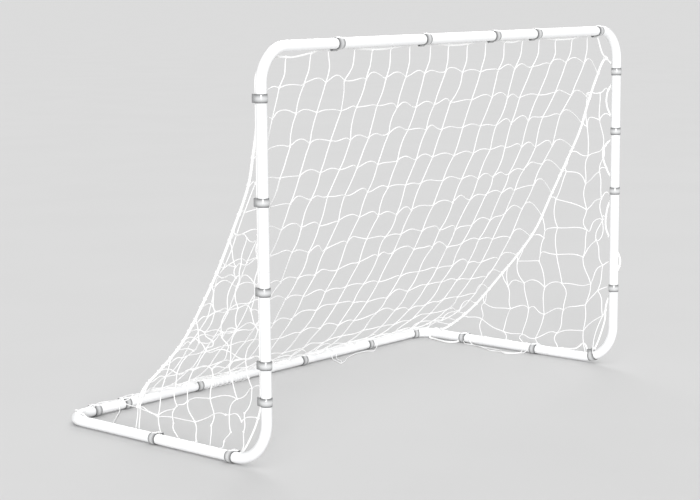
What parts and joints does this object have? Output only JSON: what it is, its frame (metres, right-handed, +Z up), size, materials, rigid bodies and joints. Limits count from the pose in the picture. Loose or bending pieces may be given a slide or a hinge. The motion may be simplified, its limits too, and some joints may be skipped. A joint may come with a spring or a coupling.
{
  "type": "soccer goal frame",
  "caption": "Portable white steel-tube soccer goal: upright arch on a U-shaped ground frame, slip joints with snap buttons, swinging grey net clips and a sagging roped net.",
  "frame": {"origin": "middle of the footprint on the ground", "axes": "+Z up; the goal mouth faces -Y and the ground frame and net reach towards +Y; +X to the right seen from the front"},
  "size_m": [1.8482, 0.9314, 1.2221],
  "materials": {
    "tube_paint": "white powder coat, smooth semi-gloss",
    "clip_plastic": "mid grey moulded plastic, glossy",
    "button_steel": "bright zinc-plated steel",
    "spring_steel": "plain spring steel strip",
    "rope": "white laid rope",
    "net_twine": "white knotted twine"
  },
  "bodies": {
    "frame": {"top_left_corner": "tube_paint", "top_right_corner": "tube_paint", "crossbar_center": "tube_paint", "bottom_left_corner": "tube_paint", "bottom_right_corner": "tube_paint", "rear_left_corner": "tube_paint", "rear_right_corner": "tube_paint", "rear_bar_center": "tube_paint", "button_spring_crossbar_left": "spring_steel", "button_spring_crossbar_right": "spring_steel", "button_spring_post_left": "spring_steel", "button_spring_post_right": "spring_steel", "button_spring_rail_left": "spring_steel", "button_spring_rail_right": "spring_steel", "button_spring_rear_left": "spring_steel", "button_spring_rear_right": "spring_steel", "border_rope": "rope", "seam_rope_left": "rope", "seam_rope_right": "rope", "net_back_panel": "net_twine", "net_side_left": "net_twine", "net_side_right": "net_twine"},
    "button_crossbar_left": {"snap_button_crossbar_left": "button_steel"},
    "button_crossbar_right": {"snap_button_crossbar_right": "button_steel"},
    "button_post_left": {"snap_button_post_left": "button_steel"},
    "button_post_right": {"snap_button_post_right": "button_steel"},
    "button_rail_left": {"snap_button_rail_left": "button_steel"},
    "button_rail_right": {"snap_button_rail_right": "button_steel"},
    "button_rear_left": {"snap_button_rear_left": "button_steel"},
    "button_rear_right": {"snap_button_rear_right": "button_steel"},
    "clip_crossbar_1_body": {"clip_crossbar_1": "clip_plastic"},
    "clip_crossbar_2_body": {"clip_crossbar_2": "clip_plastic"},
    "clip_crossbar_3_body": {"clip_crossbar_3": "clip_plastic"},
    "clip_crossbar_4_body": {"clip_crossbar_4": "clip_plastic"},
    "clip_crossbar_5_body": {"clip_crossbar_5": "clip_plastic"},
    "clip_left_post_1_body": {"clip_left_post_1": "clip_plastic"},
    "clip_left_post_2_body": {"clip_left_post_2": "clip_plastic"},
    "clip_left_post_3_body": {"clip_left_post_3": "clip_plastic"},
    "clip_left_post_4_body": {"clip_left_post_4": "clip_plastic"},
    "clip_left_post_5_body": {"clip_left_post_5": "clip_plastic"},
    "clip_right_post_1_body": {"clip_right_post_1": "clip_plastic"},
    "clip_right_post_2_body": {"clip_right_post_2": "clip_plastic"},
    "clip_right_post_3_body": {"clip_right_post_3": "clip_plastic"},
    "clip_right_post_4_body": {"clip_right_post_4": "clip_plastic"},
    "clip_left_rail_1_body": {"clip_left_rail_1": "clip_plastic"},
    "clip_left_rail_2_body": {"clip_left_rail_2": "clip_plastic"},
    "clip_right_rail_2_body": {"clip_right_rail_2": "clip_plastic"},
    "clip_right_rail_3_body": {"clip_right_rail_3": "clip_plastic"},
    "clip_rear_bar_1_body": {"clip_rear_bar_1": "clip_plastic"},
    "clip_rear_bar_2_body": {"clip_rear_bar_2": "clip_plastic"},
    "clip_rear_bar_3_body": {"clip_rear_bar_3": "clip_plastic"},
    "clip_rear_bar_4_body": {"clip_rear_bar_4": "clip_plastic"},
    "clip_rear_bar_5_body": {"clip_rear_bar_5": "clip_plastic"},
    "clip_right_rail_1_body": {"clip_right_rail_1": "clip_plastic"},
    "clip_rear_bar_6_body": {"clip_rear_bar_6": "clip_plastic"}
  },
  "joints": [
    {"name": "press_crossbar_left", "type": "slide", "parent": "frame", "child": "button_crossbar_left", "axis": [0, -1, 0], "range_m": [0, 0.0044], "deforming": ["button_spring_crossbar_left"]},
    {"name": "press_crossbar_right", "type": "slide", "parent": "frame", "child": "button_crossbar_right", "axis": [0, -1, 0], "range_m": [0, 0.0044], "deforming": ["button_spring_crossbar_right"]},
    {"name": "press_post_left", "type": "slide", "parent": "frame", "child": "button_post_left", "axis": [0, -1, 0], "range_m": [0, 0.0044], "deforming": ["button_spring_post_left"]},
    {"name": "press_post_right", "type": "slide", "parent": "frame", "child": "button_post_right", "axis": [0, -1, 0], "range_m": [0, 0.0044], "deforming": ["button_spring_post_right"]},
    {"name": "press_rail_left", "type": "slide", "parent": "frame", "child": "button_rail_left", "axis": [0, 0, 1], "range_m": [0, 0.0044], "deforming": ["button_spring_rail_left"]},
    {"name": "press_rail_right", "type": "slide", "parent": "frame", "child": "button_rail_right", "axis": [0, 0, 1], "range_m": [0, 0.0044], "deforming": ["button_spring_rail_right"]},
    {"name": "press_rear_left", "type": "slide", "parent": "frame", "child": "button_rear_left", "axis": [0, -1, 0], "range_m": [0, 0.0044], "deforming": ["button_spring_rear_left"]},
    {"name": "press_rear_right", "type": "slide", "parent": "frame", "child": "button_rear_right", "axis": [0, -1, 0], "range_m": [0, 0.0044], "deforming": ["button_spring_rear_right"]},
    {"name": "swing_clip_crossbar_1", "type": "hinge", "parent": "frame", "child": "clip_crossbar_1_body", "pos_m": [-0.575, -0.44133, 1.20332], "axis": [1, 0, 0], "range_deg": [-12, 12]},
    {"name": "swing_clip_crossbar_2", "type": "hinge", "parent": "frame", "child": "clip_crossbar_2_body", "pos_m": [-0.172, -0.44133, 1.20332], "axis": [1, 0, 0], "range_deg": [-12, 12]},
    {"name": "swing_clip_crossbar_3", "type": "hinge", "parent": "frame", "child": "clip_crossbar_3_body", "pos_m": [0.182, -0.44133, 1.20332], "axis": [1, 0, 0], "range_deg": [-12, 12]},
    {"name": "swing_clip_crossbar_4", "type": "hinge", "parent": "frame", "child": "clip_crossbar_4_body", "pos_m": [0.411, -0.44133, 1.20332], "axis": [1, 0, 0], "range_deg": [-12, 12]},
    {"name": "swing_clip_crossbar_5", "type": "hinge", "parent": "frame", "child": "clip_crossbar_5_body", "pos_m": [0.781, -0.44133, 1.20332], "axis": [1, 0, 0], "range_deg": [-12, 12]},
    {"name": "swing_clip_left_post_1", "type": "hinge", "parent": "frame", "child": "clip_left_post_1_body", "pos_m": [-0.89853, -0.44133, 1.062], "axis": [0, 0, 1], "range_deg": [-12, 12]},
    {"name": "swing_clip_left_post_2", "type": "hinge", "parent": "frame", "child": "clip_left_post_2_body", "pos_m": [-0.89853, -0.44133, 0.772], "axis": [0, 0, 1], "range_deg": [-12, 12]},
    {"name": "swing_clip_left_post_3", "type": "hinge", "parent": "frame", "child": "clip_left_post_3_body", "pos_m": [-0.89853, -0.44133, 0.518], "axis": [0, 0, 1], "range_deg": [-12, 12]},
    {"name": "swing_clip_left_post_4", "type": "hinge", "parent": "frame", "child": "clip_left_post_4_body", "pos_m": [-0.89853, -0.44133, 0.308], "axis": [0, 0, 1], "range_deg": [-12, 12]},
    {"name": "swing_clip_left_post_5", "type": "hinge", "parent": "frame", "child": "clip_left_post_5_body", "pos_m": [-0.89853, -0.44133, 0.202], "axis": [0, 0, 1], "range_deg": [-12, 12]},
    {"name": "swing_clip_right_post_1", "type": "hinge", "parent": "frame", "child": "clip_right_post_1_body", "pos_m": [0.89853, -0.44133, 1.058], "axis": [0, 0, 1], "range_deg": [-12, 12]},
    {"name": "swing_clip_right_post_2", "type": "hinge", "parent": "frame", "child": "clip_right_post_2_body", "pos_m": [0.89853, -0.44133, 0.848], "axis": [0, 0, 1], "range_deg": [-12, 12]},
    {"name": "swing_clip_right_post_3", "type": "hinge", "parent": "frame", "child": "clip_right_post_3_body", "pos_m": [0.89853, -0.44133, 0.636], "axis": [0, 0, 1], "range_deg": [-12, 12]},
    {"name": "swing_clip_right_post_4", "type": "hinge", "parent": "frame", "child": "clip_right_post_4_body", "pos_m": [0.89853, -0.44133, 0.285], "axis": [0, 0, 1], "range_deg": [-12, 12]},
    {"name": "swing_clip_left_rail_1", "type": "hinge", "parent": "frame", "child": "clip_left_rail_1_body", "pos_m": [-0.89853, -0.29533, 0.01875], "axis": [0, 1, 0], "range_deg": [-12, 12]},
    {"name": "swing_clip_left_rail_2", "type": "hinge", "parent": "frame", "child": "clip_left_rail_2_body", "pos_m": [-0.89853, 0.03068, 0.01875], "axis": [0, 1, 0], "range_deg": [-12, 12]},
    {"name": "swing_clip_right_rail_2", "type": "hinge", "parent": "frame", "child": "clip_right_rail_2_body", "pos_m": [0.89853, -0.09632, 0.01875], "axis": [0, 1, 0], "range_deg": [-12, 12]},
    {"name": "swing_clip_right_rail_3", "type": "hinge", "parent": "frame", "child": "clip_right_rail_3_body", "pos_m": [0.89853, 0.23367, 0.01875], "axis": [0, 1, 0], "range_deg": [-12, 12]},
    {"name": "swing_clip_rear_bar_1", "type": "hinge", "parent": "frame", "child": "clip_rear_bar_1_body", "pos_m": [-0.776, 0.44133, 0.01875], "axis": [1, 0, 0], "range_deg": [-12, 12]},
    {"name": "swing_clip_rear_bar_2", "type": "hinge", "parent": "frame", "child": "clip_rear_bar_2_body", "pos_m": [-0.648, 0.44133, 0.01875], "axis": [1, 0, 0], "range_deg": [-12, 12]},
    {"name": "swing_clip_rear_bar_3", "type": "hinge", "parent": "frame", "child": "clip_rear_bar_3_body", "pos_m": [-0.319, 0.44133, 0.01875], "axis": [1, 0, 0], "range_deg": [-12, 12]},
    {"name": "swing_clip_rear_bar_4", "type": "hinge", "parent": "frame", "child": "clip_rear_bar_4_body", "pos_m": [0.208, 0.44133, 0.01875], "axis": [1, 0, 0], "range_deg": [-12, 12]},
    {"name": "swing_clip_rear_bar_5", "type": "hinge", "parent": "frame", "child": "clip_rear_bar_5_body", "pos_m": [0.579, 0.44133, 0.01875], "axis": [1, 0, 0], "range_deg": [-12, 12]},
    {"name": "swing_clip_right_rail_1", "type": "hinge", "parent": "frame", "child": "clip_right_rail_1_body", "pos_m": [0.89853, -0.35589, 0.02705], "axis": [0, 0.9438, -0.3305], "range_deg": [-12, 12]},
    {"name": "swing_clip_rear_bar_6", "type": "hinge", "parent": "frame", "child": "clip_rear_bar_6_body", "pos_m": [0.84951, 0.43486, 0.01875], "axis": [0.9317, -0.3633, 0], "range_deg": [-12, 12]}
  ]
}
